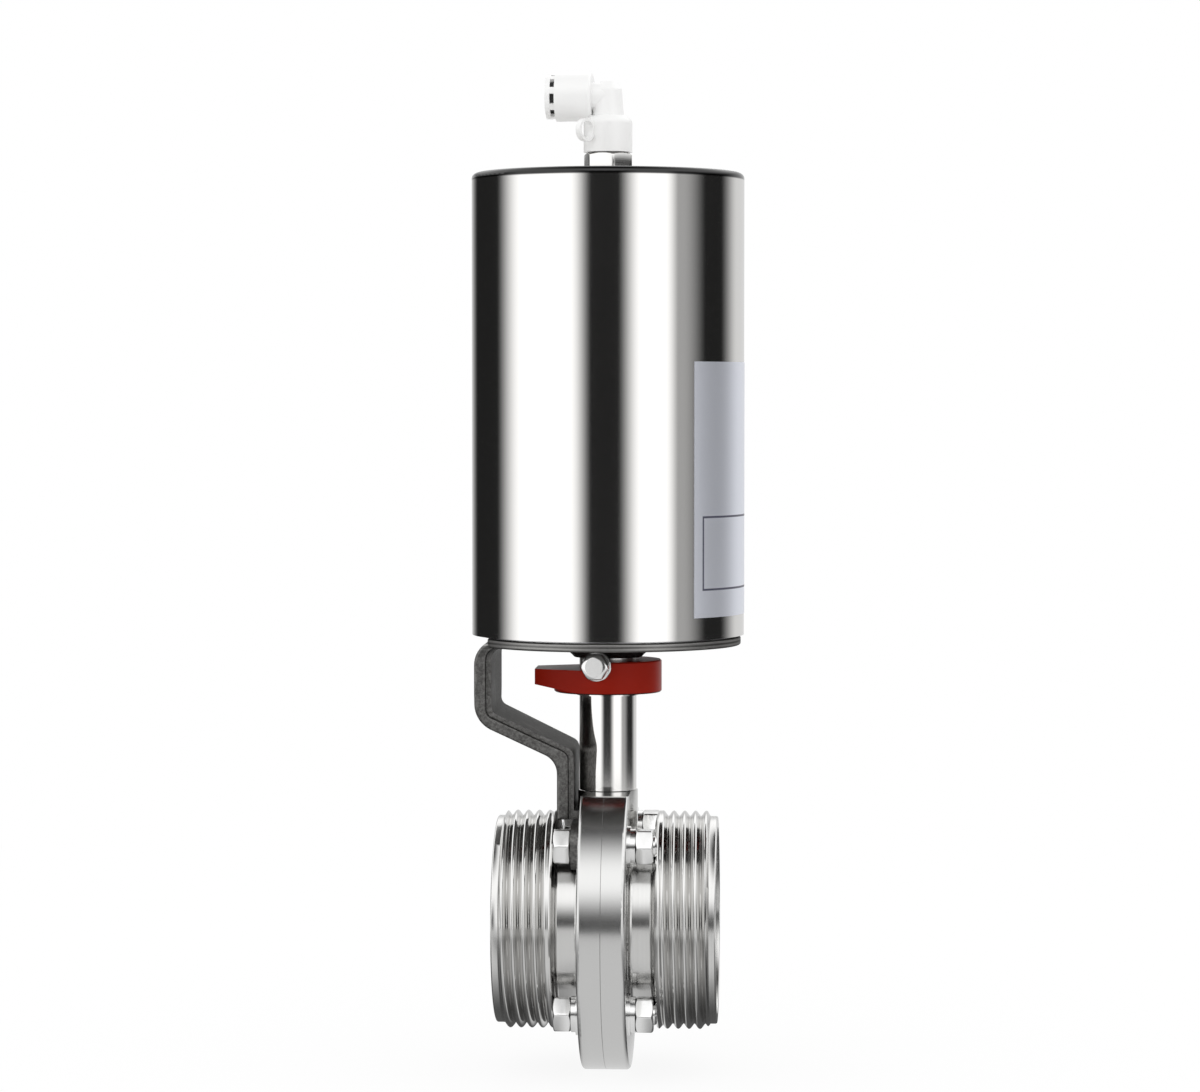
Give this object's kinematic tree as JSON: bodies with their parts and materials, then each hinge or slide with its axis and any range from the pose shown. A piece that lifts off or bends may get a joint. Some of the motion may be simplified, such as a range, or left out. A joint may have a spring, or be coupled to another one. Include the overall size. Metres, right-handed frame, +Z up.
{
  "type": "pneumatic butterfly valve",
  "caption": "Hygienic butterfly valve with threaded male ends, cast bracket, indicator collar, upright spring-return air actuator and push-in elbow.",
  "frame": {"origin": "where the pipe axis meets the stem axis, in the middle of the disc", "axes": "+X along the pipe towards the outlet, +Z up along the stem to the actuator, -Y towards the viewer of the picture"},
  "size_m": [0.106, 0.1168, 0.3888],
  "materials": {
    "stainless": "satin machined stainless steel",
    "polished": "polished stainless steel",
    "zinc": "bright fastener steel",
    "cast": "shot-blasted dark grey casting",
    "red_plastic": "glossy red",
    "white_plastic": "white moulded plastic",
    "plated_brass": "nickel plated",
    "rubber": "black elastomer",
    "seat_rubber": "red-brown silicone elastomer",
    "bearing": "bearing plastic",
    "aluminium": "turned aluminium",
    "spring": "dark spring steel",
    "shaft_steel": "turned steel"
  },
  "bodies": {
    "valve": {"inlet_male_end": "stainless", "outlet_male_end": "stainless", "inlet_flange_half": "stainless", "outlet_flange_half": "stainless", "seat_seal": "seat_rubber", "upper_stem_bush": "bearing", "lower_stem_bush": "bearing", "flange_bolts": "zinc", "flange_nuts": "zinc", "flat_washers": "zinc", "spring_washers": "zinc", "bracket": "cast", "bracket_screws": "zinc", "actuator_shell": "polished", "bottom_cover": "aluminium", "cover_o_ring": "rubber", "cover_retaining_ring": "spring", "shaft_bush": "bearing", "shaft_wiper": "rubber", "thrust_washer": "bearing", "guide_tube": "shaft_steel", "guide_tube_screws": "zinc", "return_spring": "spring", "fitting_stud": "plated_brass", "fitting_seal": "rubber", "elbow_o_ring": "rubber"},
    "rotor": {"valve_disc": "stainless", "stem_o_rings": "rubber", "output_shaft": "polished", "indicator_collar": "red_plastic", "indicator_screw": "zinc", "cam_tube": "shaft_steel", "cam_dowels": "shaft_steel"},
    "piston_set": {"piston": "aluminium", "piston_seal": "rubber", "piston_wear_ring": "bearing", "piston_rod": "shaft_steel", "rod_nut": "zinc", "cross_pin": "shaft_steel", "cross_pin_rollers": "shaft_steel"},
    "elbow": {"elbow_body": "white_plastic", "tube_seal": "rubber", "grip_ring": "spring"},
    "release": {"release_ring": "white_plastic"}
  },
  "joints": [
    {"name": "shaft_turn", "type": "hinge", "parent": "valve", "child": "rotor", "pos_m": [0, 0, 0], "axis": [0, 0, 1], "range_deg": [0, 90]},
    {"name": "piston_slide", "type": "slide", "parent": "valve", "child": "piston_set", "axis": [0, 0, 1], "range_m": [-0.04, 0], "stiffness_N_per_m": 2500, "springref_m": 0.03, "deforming": ["return_spring"]},
    {"name": "elbow_swivel", "type": "hinge", "parent": "valve", "child": "elbow", "pos_m": [0, 0, 0.3208], "axis": [0, 0, 1], "continuous": true},
    {"name": "release_push", "type": "slide", "parent": "elbow", "child": "release", "axis": [0.9976, -0.0698, 0], "range_m": [0, 0.0015], "stiffness_N_per_m": 300, "springref_m": -0.0005}
  ],
  "couplings": [
    {"joint": "shaft_turn", "follows": "piston_slide", "rad_per_m": -39.27}
  ]
}
